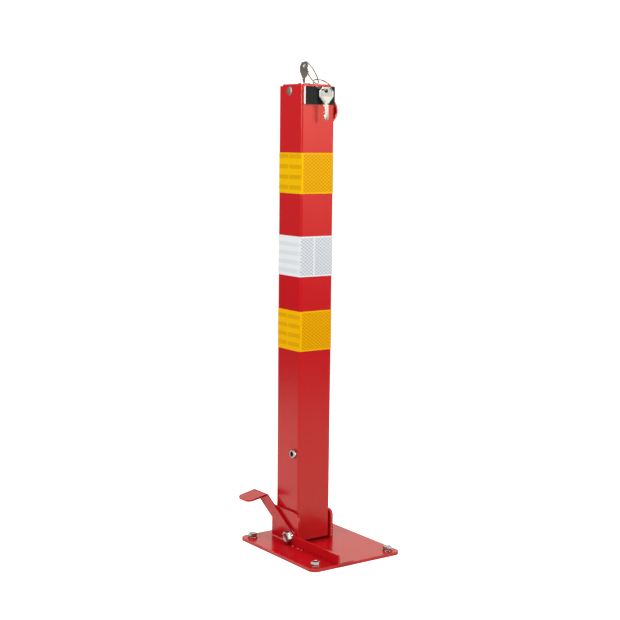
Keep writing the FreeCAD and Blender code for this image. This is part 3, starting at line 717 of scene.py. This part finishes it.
# Key rings: split rings wound from plated spring wire, nearly two turns side by side with one crossing.
# The large one goes through the key in the lock, and the small one joins it to the spare key.
def coil_tree():
    """A flat split ring about the origin: turns of wire that step over once, half way along."""
    tree = piece_tree("split_ring", (("Radius", "Float"), ("Wire", "Float"), ("Turns", "Float")))
    given = add(tree, "NodeGroupInput", -900, 0)
    turns = add(tree, "GeometryNodeCurveSpiral", -650, 150, Resolution=64, Height=0.0)
    along = add(tree, "GeometryNodeSplineParameter", -650, -150)
    crossing = add(tree, "ShaderNodeMapRange", -450, -150, interpolation_type="SMOOTHSTEP", From_Min=0.44,
                   From_Max=0.55, To_Min=-0.51, To_Max=0.51)
    step = add(tree, "ShaderNodeMath", -250, -150, operation="MULTIPLY")
    lift = add(tree, "ShaderNodeCombineXYZ", -100, -150)
    laid = add(tree, "GeometryNodeSetPosition", 50, 100)
    half_wire = add(tree, "ShaderNodeMath", -250, -400, operation="MULTIPLY")
    half_wire.inputs[1].default_value = 0.5
    section = add(tree, "GeometryNodeCurvePrimitiveCircle", 50, -350, Resolution=12)
    wire = add(tree, "GeometryNodeCurveToMesh", 250, 50, Fill_Caps=True)
    smooth = add(tree, "GeometryNodeSetShadeSmooth", 450, 50)
    join = tree.links.new
    join(given.outputs["Turns"], turns.inputs["Rotations"])
    join(given.outputs["Radius"], turns.inputs["Start Radius"])
    join(given.outputs["Radius"], turns.inputs["End Radius"])
    join(along.outputs["Factor"], crossing.inputs["Value"])
    join(crossing.outputs["Result"], step.inputs[0])
    join(given.outputs["Wire"], step.inputs[1])
    join(step.outputs[0], lift.inputs["Z"])
    join(turns.outputs["Curve"], laid.inputs["Geometry"])
    join(lift.outputs["Vector"], laid.inputs["Offset"])
    join(given.outputs["Wire"], half_wire.inputs[0])
    join(half_wire.outputs[0], section.inputs["Radius"])
    join(laid.outputs["Geometry"], wire.inputs["Curve"])
    join(section.outputs["Curve"], wire.inputs["Profile Curve"])
    join(wire.outputs["Mesh"], smooth.inputs["Geometry"])
    put_out(tree, given, smooth.outputs["Geometry"], 600, 50)
    return tree


split_ring = coil_tree()
spring_wire = coated("spring_wire", 1.0, 0.5, Colour=(0.27, 0.25, 0.23, 1),
                     Cloud_Colour=(0.16, 0.145, 0.13, 1), Cloud=0.6, Rub=0.0, Gloss=0.2, Peel_Scale=900.0,
                     Peel_Depth=0.1)
ring_turns = 1.93
ring_sizes = {"large_key_ring": (0.00072, 0.00018), "small_key_ring": (0.0009, 0.0)}
for ring_node, (ring_wire, drawn_in) in ring_sizes.items():
    ring_points = numpy.array([vertex.co for vertex in nodes[ring_node].data.vertices])
    ring_centre = ring_points.mean(axis=0)
    ring_spread = ring_points - ring_centre
    ring_ways = numpy.linalg.svd(ring_spread, full_matrices=False)[2]
    ring_across = Vector(ring_ways[0])
    ring_axis = Vector(ring_ways[2])
    ring_radius = float(numpy.linalg.norm(ring_spread, axis=1).mean()) - drawn_in
    coil = grown(ring_node + "_coil", split_ring, {"Radius": ring_radius, "Wire": ring_wire,
                                                   "Turns": ring_turns, "Finish": spring_wire})
    lie = Matrix((ring_across, ring_axis.cross(ring_across), ring_axis)).transposed().to_4x4()
    coil.data.transform(Matrix.Translation(Vector(ring_centre)) @ lie)
    stand_for(coil, ring_node, spring_wire)


# Working parts inside the post: a turned rod with its tongue and nuts, a bent guide plate and the hinge
# bush in plain steel, and a moulded nylon bush.
steel = coated("turned_steel", 1.0, 0.5, Colour=(0.52, 0.52, 0.53, 1), Cloud_Colour=(0.34, 0.34, 0.35, 1),
               Cloud=0.5, Rub_Colour=(0.7, 0.7, 0.7, 1), Rub=0.4, Gloss=0.28, Peel_Scale=1200.0,
               Peel_Depth=0.1)
nylon = coated("bush_nylon", 0.0, 0.4, Colour=(0.72, 0.71, 0.66, 1), Cloud_Colour=(0.6, 0.58, 0.52, 1),
               Cloud=0.4, Rub=0.0, Gloss=0.45, Peel_Scale=600.0, Peel_Depth=0.05)
inner_edge = 0.0003
nut_edge = 0.0004
for inner_node in ("drive_rod", "locking_tongue", "rod_guide", "hinge_bush"):
    stand_for(softened(inner_node, inner_edge), inner_node, steel)
stand_for(softened("tongue_nuts", nut_edge), "tongue_nuts", zinc_plate)
stand_for(softened("rod_bush", inner_edge), "rod_bush", nylon)


# Bumper: a block of white closed-cell foam with a black rubber face, both knife-cut from sheet and stuck to
# the front of the post.
foam = coated("white_foam", 0.0, 0.2, Colour=(0.93, 0.93, 0.92, 1), Cloud_Colour=(0.80, 0.80, 0.79, 1),
              Cloud=0.5, Rub=0.0, Gloss=0.7, Peel_Scale=1100.0, Peel_Depth=0.6)
rubber = coated("black_rubber", 0.0, 0.06, Colour=(0.014, 0.016, 0.014, 1),
                Cloud_Colour=(0.022, 0.023, 0.022, 1), Cloud=0.5, Rub_Colour=(0.06, 0.06, 0.06, 1), Rub=0.5,
                Gloss=0.55, Peel_Scale=1600.0, Peel_Depth=0.3)
foam_corner = 0.0005
rubber_corner = 0.0004


def cut_block(node, corner):
    """A block with square corners, only just rounded, that fills its CAD node's box."""
    low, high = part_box(node)
    outline = [(low.x, low.z), (high.x, low.z), (high.x, high.z), (low.x, high.z)]
    stand = Matrix.Rotation(math.radians(90), 4, "X")
    block = slab(outline, -high.y, -low.y, stand)
    block.name = node + "_block"
    for face in block.data.polygons:
        face.use_smooth = True
    return rounded(block, corner)


stand_for(cut_block("bumper_foam", foam_corner), "bumper_foam", foam)
stand_for(cut_block("bumper_face", rubber_corner), "bumper_face", rubber)


# Reflective bands: prismatic sheeting wrapped round the post. Three walls show a lattice of diamond cells;
# on the left wall the cells stand in rows with plain rows between. The cut edges and seams are sealed.
def lattice_group():
    """Distance from the nearest line of a diamond lattice, 0 on a line and 0.5 in a cell."""
    group = bpy.data.node_groups.new("diamond_cells", "ShaderNodeTree")
    socket(group, "Across", "INPUT")
    socket(group, "Up", "INPUT")
    socket(group, "Cell Width", "INPUT", value=0.008)
    socket(group, "Cell Height", "INPUT", value=0.0055)
    socket(group, "Distance", "OUTPUT")
    given = add(group, "NodeGroupInput", -700, 0)
    out = add(group, "NodeGroupOutput", 500, 0)
    join = group.links.new
    over = add(group, "ShaderNodeMath", -450, 100, operation="DIVIDE")
    join(given.outputs["Across"], over.inputs[0])
    join(given.outputs["Cell Width"], over.inputs[1])
    rise = add(group, "ShaderNodeMath", -450, -100, operation="DIVIDE")
    join(given.outputs["Up"], rise.inputs[0])
    join(given.outputs["Cell Height"], rise.inputs[1])
    beats = []
    for height, way in ((100, "ADD"), (-100, "SUBTRACT")):
        slant = add(group, "ShaderNodeMath", -200, height, operation=way)
        join(over.outputs[0], slant.inputs[0])
        join(rise.outputs[0], slant.inputs[1])
        beat = add(group, "ShaderNodeMath", 0, height, operation="PINGPONG")
        beat.inputs[1].default_value = 0.5
        join(slant.outputs[0], beat.inputs[0])
        beats.append(beat)
    near = add(group, "ShaderNodeMath", 250, 0, operation="MINIMUM")
    join(beats[0].outputs[0], near.inputs[0])
    join(beats[1].outputs[0], near.inputs[1])
    join(near.outputs[0], out.inputs["Distance"])
    return group


diamond_cells = lattice_group()
wall_facing = 0.7
sealed_edge = 0.0022
seam_half = 0.0013
broad_cell = (0.0070, 0.0051)
fine_cell = (0.0052, 0.0027)
cell_line = 0.05
cell_fade = 0.1
row_height = 0.0064


def sheeting(name, node, line_colour, cell_colour, seams, row_spacing, row_start, row_depth):
    """Sheeting for one band; the seams are places along the side walls and along the front and back walls."""
    side_seam, front_seam = seams
    low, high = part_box(node)
    middle = (low.z + high.z) / 2
    sealed = (high.z - low.z) / 2 - sealed_edge
    material = bpy.data.materials.new(name)
    material.use_nodes = True
    tree = material.node_tree
    join = tree.links.new
    shader = tree.nodes["Principled BSDF"]
    shader.inputs["Roughness"].default_value = 0.3
    shader.inputs["Specular IOR Level"].default_value = 0.05
    place = add(tree, "ShaderNodeTexCoord", -2000, 0)
    part = add(tree, "ShaderNodeSeparateXYZ", -1800, 150)
    facing = add(tree, "ShaderNodeSeparateXYZ", -1800, -150)
    join(place.outputs["Object"], part.inputs[0])
    join(place.outputs["Normal"], facing.inputs[0])

    def maths(kind, x, y, *values):
        """One Math node; each value is a number or another node's output."""
        node_made = add(tree, "ShaderNodeMath", x, y, operation=kind)
        for slot, value in enumerate(values):
            if isinstance(value, (int, float)):
                node_made.inputs[slot].default_value = value
            else:
                join(value, node_made.inputs[slot])
        return node_made.outputs[0]
    side_facing = maths("ABSOLUTE", -1600, -150, facing.outputs["X"])
    sideways = maths("GREATER_THAN", -1400, -150, side_facing, wall_facing)
    on_left = maths("LESS_THAN", -1400, -350, facing.outputs["X"], -wall_facing)
    across = add(tree, "ShaderNodeMix", -1200, 100)
    join(sideways, across.inputs["Factor"])
    join(part.outputs["X"], across.inputs["A"])
    join(part.outputs["Y"], across.inputs["B"])
    along = across.outputs["Result"]
    up = maths("SUBTRACT", -1200, 300, part.outputs["Z"], middle)

    def cells(size, y):
        """A mask of diamond cells of one size, 0 on the lines between them."""
        lattice = add(tree, "ShaderNodeGroup", -900, y, node_tree=diamond_cells)
        join(along, lattice.inputs["Across"])
        join(up, lattice.inputs["Up"])
        lattice.inputs["Cell Width"].default_value, lattice.inputs["Cell Height"].default_value = size
        soft = add(tree, "ShaderNodeMapRange", -700, y, interpolation_type="SMOOTHSTEP", From_Min=cell_line,
                   From_Max=cell_line + cell_fade)
        join(lattice.outputs["Distance"], soft.inputs["Value"])
        return soft.outputs["Result"]
    broad = cells(broad_cell, 500)
    fine = cells(fine_cell, 250)
    beat = maths("PINGPONG", -700, 0, maths("SUBTRACT", -900, 0, up, row_start), row_spacing / 2)
    row = maths("GREATER_THAN", -500, 0, beat, row_spacing / 2 - row_height / 2)
    rows = maths("MULTIPLY", -150, 150, maths("MULTIPLY", -300, 150, fine, row), row_depth)
    pattern = add(tree, "ShaderNodeMix", 100, 300)
    join(on_left, pattern.inputs["Factor"])
    join(broad, pattern.inputs["A"])
    join(rows, pattern.inputs["B"])
    inside = maths("LESS_THAN", -700, -250, maths("ABSOLUTE", -900, -250, up), sealed)
    off_side = maths("ABSOLUTE", -700, -450, maths("SUBTRACT", -900, -450, part.outputs["Y"], side_seam))
    off_front = maths("ABSOLUTE", -700, -650, maths("SUBTRACT", -900, -650, part.outputs["X"], front_seam))
    seam_distance = add(tree, "ShaderNodeMix", -500, -500)
    join(sideways, seam_distance.inputs["Factor"])
    join(off_front, seam_distance.inputs["A"])
    join(off_side, seam_distance.inputs["B"])
    off_seam = maths("GREATER_THAN", -300, -500, seam_distance.outputs["Result"], seam_half)
    unsealed = maths("MULTIPLY", 300, 100, pattern.outputs["Result"], inside)
    shown = maths("MULTIPLY", 450, 100, unsealed, off_seam)
    tint = add(tree, "ShaderNodeMix", 650, 200, data_type="RGBA")
    join(shown, tint.inputs["Factor"])
    tint.inputs["A"].default_value = line_colour
    tint.inputs["B"].default_value = cell_colour
    raised = add(tree, "ShaderNodeBump", 650, -150, Strength=0.25, Distance=0.0003, invert=True)
    join(shown, raised.inputs["Height"])
    join(tint.outputs["Result"], shader.inputs["Base Color"])
    join(raised.outputs["Normal"], shader.inputs["Normal"])
    shader.location = (900, 0)
    tree.nodes["Material Output"].location = (1200, 0)
    return material


yellow = (0.86, 0.49, 0.001, 1), (0.63, 0.27, 0.001, 1)
bright_yellow = (0.92, 0.50, 0.001, 1), (0.70, 0.29, 0.001, 1)
white = (0.82, 0.85, 0.88, 1), (0.50, 0.53, 0.58, 1)
bands = (("upper_band", yellow, (0.047, -0.0275), 0.0155, 0.0019, 0.85),
         ("middle_band", white, (0.020, -0.005), 0.0134, -0.0022, 0.42),
         ("lower_band", bright_yellow, (0.047, -0.0275), 0.0140, 0.0003, 0.85))
for band_node, (line_colour, cell_colour), seams, row_spacing, row_start, row_depth in bands:
    finish = sheeting(band_node + "_sheeting", band_node, line_colour, cell_colour, seams, row_spacing,
                      row_start, row_depth)
    dress(nodes[band_node], finish)


# Stage: a pale sheet on a dark floor, level with the plate's underside, under three soft lamps. Gloss and
# metal mirror a dim room with a bright wall behind the post, a light above it, one on its right and one
# beside the camera. The camera itself sees only white round the post.
second_mirror = 0.25


def by_ray(tree, seen, mirrored, other, x, y):
    """A strength: one for the camera's rays, one for rays that gloss or metal sends on, dimmer for those
    sent on twice, and one for all others."""
    path = add(tree, "ShaderNodeLightPath", x, y)
    clear = add(tree, "ShaderNodeMath", x + 200, y, operation="MAXIMUM")
    bounced = add(tree, "ShaderNodeMix", x + 200, y - 200, A=other)
    chosen = add(tree, "ShaderNodeMix", x + 400, y, B=seen)
    tree.links.new(path.outputs["Is Camera Ray"], clear.inputs[0])
    tree.links.new(path.outputs["Is Transmission Ray"], clear.inputs[1])
    tree.links.new(path.outputs["Is Glossy Ray"], bounced.inputs["Factor"])
    again = add(tree, "ShaderNodeMapRange", x, y - 450, From_Min=1.0, From_Max=2.0, To_Min=1.0,
                To_Max=second_mirror)
    dimmed = add(tree, "ShaderNodeMath", x + 200, y - 450, operation="MULTIPLY")
    tree.links.new(path.outputs["Glossy Depth"], again.inputs["Value"])
    tree.links.new(mirrored, dimmed.inputs[0])
    tree.links.new(again.outputs["Result"], dimmed.inputs[1])
    tree.links.new(dimmed.outputs[0], bounced.inputs["B"])
    tree.links.new(clear.outputs[0], chosen.inputs["Factor"])
    tree.links.new(bounced.outputs["Result"], chosen.inputs["A"])
    return chosen.outputs["Result"]


full_white = 1.0
floor_reach = 4.0
sheet_edge_near = 0.9
sheet_edge_far = 1.7
sheet_pale = 0.85
floor_dark = 0.10
sheet_glow = 0.35
floor_corners = [(-floor_reach, -floor_reach, 0), (floor_reach, -floor_reach, 0),
                 (floor_reach, floor_reach, 0), (-floor_reach, floor_reach, 0)]
floor_mesh = bpy.data.meshes.new("floor")
floor_mesh.from_pydata(floor_corners, [], [(0, 1, 2, 3)])
floor = link(bpy.data.objects.new("floor", floor_mesh))
floor_finish = bpy.data.materials.new("pale_floor")
floor_finish.use_nodes = True
floor_tree = floor_finish.node_tree
floor_shader = floor_tree.nodes["Principled BSDF"]
floor_shader.inputs["Roughness"].default_value = 0.95
floor_shader.inputs["Specular IOR Level"].default_value = 0.0
floor_shader.inputs["Emission Color"].default_value = (1, 1, 1, 1)
floor_place = add(floor_tree, "ShaderNodeTexCoord", -1300, 0)
floor_distance = add(floor_tree, "ShaderNodeVectorMath", -1100, 0, operation="LENGTH")
floor_fade = add(floor_tree, "ShaderNodeMapRange", -900, 0, interpolation_type="SMOOTHSTEP",
                 From_Min=sheet_edge_near, From_Max=sheet_edge_far, To_Min=sheet_pale, To_Max=floor_dark)
floor_light = add(floor_tree, "ShaderNodeMath", -900, -300, operation="MULTIPLY")
floor_light.inputs[1].default_value = sheet_glow
floor_tree.links.new(floor_place.outputs["Object"], floor_distance.inputs[0])
floor_tree.links.new(floor_distance.outputs["Value"], floor_fade.inputs["Value"])
floor_tree.links.new(floor_fade.outputs["Result"], floor_shader.inputs["Base Color"])
floor_tree.links.new(floor_fade.outputs["Result"], floor_light.inputs[0])
floor_tree.links.new(by_ray(floor_tree, full_white, floor_light.outputs[0], 0.0, -650, -300),
                     floor_shader.inputs["Emission Strength"])
floor_mesh.materials.append(floor_finish)


def lamp(name, place, aim, size, power, spread=180):
    """A square lamp at a place, turned to a point; the spread is in degrees."""
    data = bpy.data.lights.new(name, "AREA")
    data.size = size
    data.energy = power
    data.spread = math.radians(spread)
    lamp_object = link(bpy.data.objects.new(name, data))
    lamp_object.location = place
    lamp_object.rotation_euler = (Vector(aim) - Vector(place)).to_track_quat("-Z", "Y").to_euler()


lamp("front_lamp", place=(0.55, -1.35, 1.0), aim=(0, 0, 0.8), size=0.25, power=3.6, spread=80)
lamp("left_lamp", place=(-1.5, -0.2, 1.15), aim=(0, 0, 0.8), size=0.9, power=4.7, spread=85)
lamp("top_lamp", place=(0.2, 0.2, 2.6), aim=(0, 0, 0.2), size=2.0, power=26)
room_colour = (1.0, 0.97, 0.89, 1)
room_white = 1.15
room_level = 0.2
room_light = 0.36
world = bpy.data.worlds.new("studio")
world.use_nodes = True
sky = world.node_tree
sky.nodes["Background"].inputs["Color"].default_value = room_colour
sky_way = add(sky, "ShaderNodeTexCoord", -1600, 0)
studio_glows = (((0.57, 0.79, 0.25), 0.80, 0.97, 0.75), ((0.57, -0.81, 0.25), 0.93, 0.985, 2.2),
                ((-0.78, -0.61, 0.08), 0.93, 0.985, 1.0), ((0.0, 0.0, 1.0), 0.75, 0.95, 0.8))
room_glow = None
for glow_step, (glow_way, glow_edge, glow_full, glow_level) in enumerate(studio_glows):
    glow_y = -250 * glow_step
    toward = add(sky, "ShaderNodeVectorMath", -1400, glow_y, operation="DOT_PRODUCT")
    toward.inputs[1].default_value = Vector(glow_way).normalized()
    lobe = add(sky, "ShaderNodeMapRange", -1200, glow_y, interpolation_type="SMOOTHSTEP", From_Min=glow_edge,
               From_Max=glow_full, To_Max=glow_level)
    total = add(sky, "ShaderNodeMath", -1000, glow_y, operation="ADD")
    total.inputs[1].default_value = room_level
    sky.links.new(sky_way.outputs["Generated"], toward.inputs[0])
    sky.links.new(toward.outputs["Value"], lobe.inputs["Value"])
    sky.links.new(lobe.outputs["Result"], total.inputs[0])
    if room_glow is not None:
        sky.links.new(room_glow, total.inputs[1])
    room_glow = total.outputs[0]
room_strength = by_ray(sky, room_white, room_glow, room_light, -750, 0)
sky.links.new(room_strength, sky.nodes["Background"].inputs["Strength"])
bpy.context.scene.world = world

camera_data = bpy.data.cameras.new("camera")
camera_data.lens = 77.94
camera_data.sensor_width = 36.0
camera = link(bpy.data.objects.new("camera", camera_data))
camera_place = Vector((-1.1815, -1.6337, 0.6341))
camera_ahead = Vector((0.5739, 0.8085, -0.1300)).normalized()
camera_roll = math.radians(0.61)
level = camera_ahead.cross(Vector((0, 0, 1))).normalized()
upright = level.cross(camera_ahead)
right = level * math.cos(camera_roll) + upright * math.sin(camera_roll)
up = upright * math.cos(camera_roll) - level * math.sin(camera_roll)
camera_turn = Matrix((right, up, -camera_ahead)).transposed()
camera.matrix_world = Matrix.Translation(camera_place) @ camera_turn.to_4x4()
bpy.context.scene.camera = camera
bpy.context.scene.view_settings.view_transform = "Standard"

bpy.context.view_layer.update()
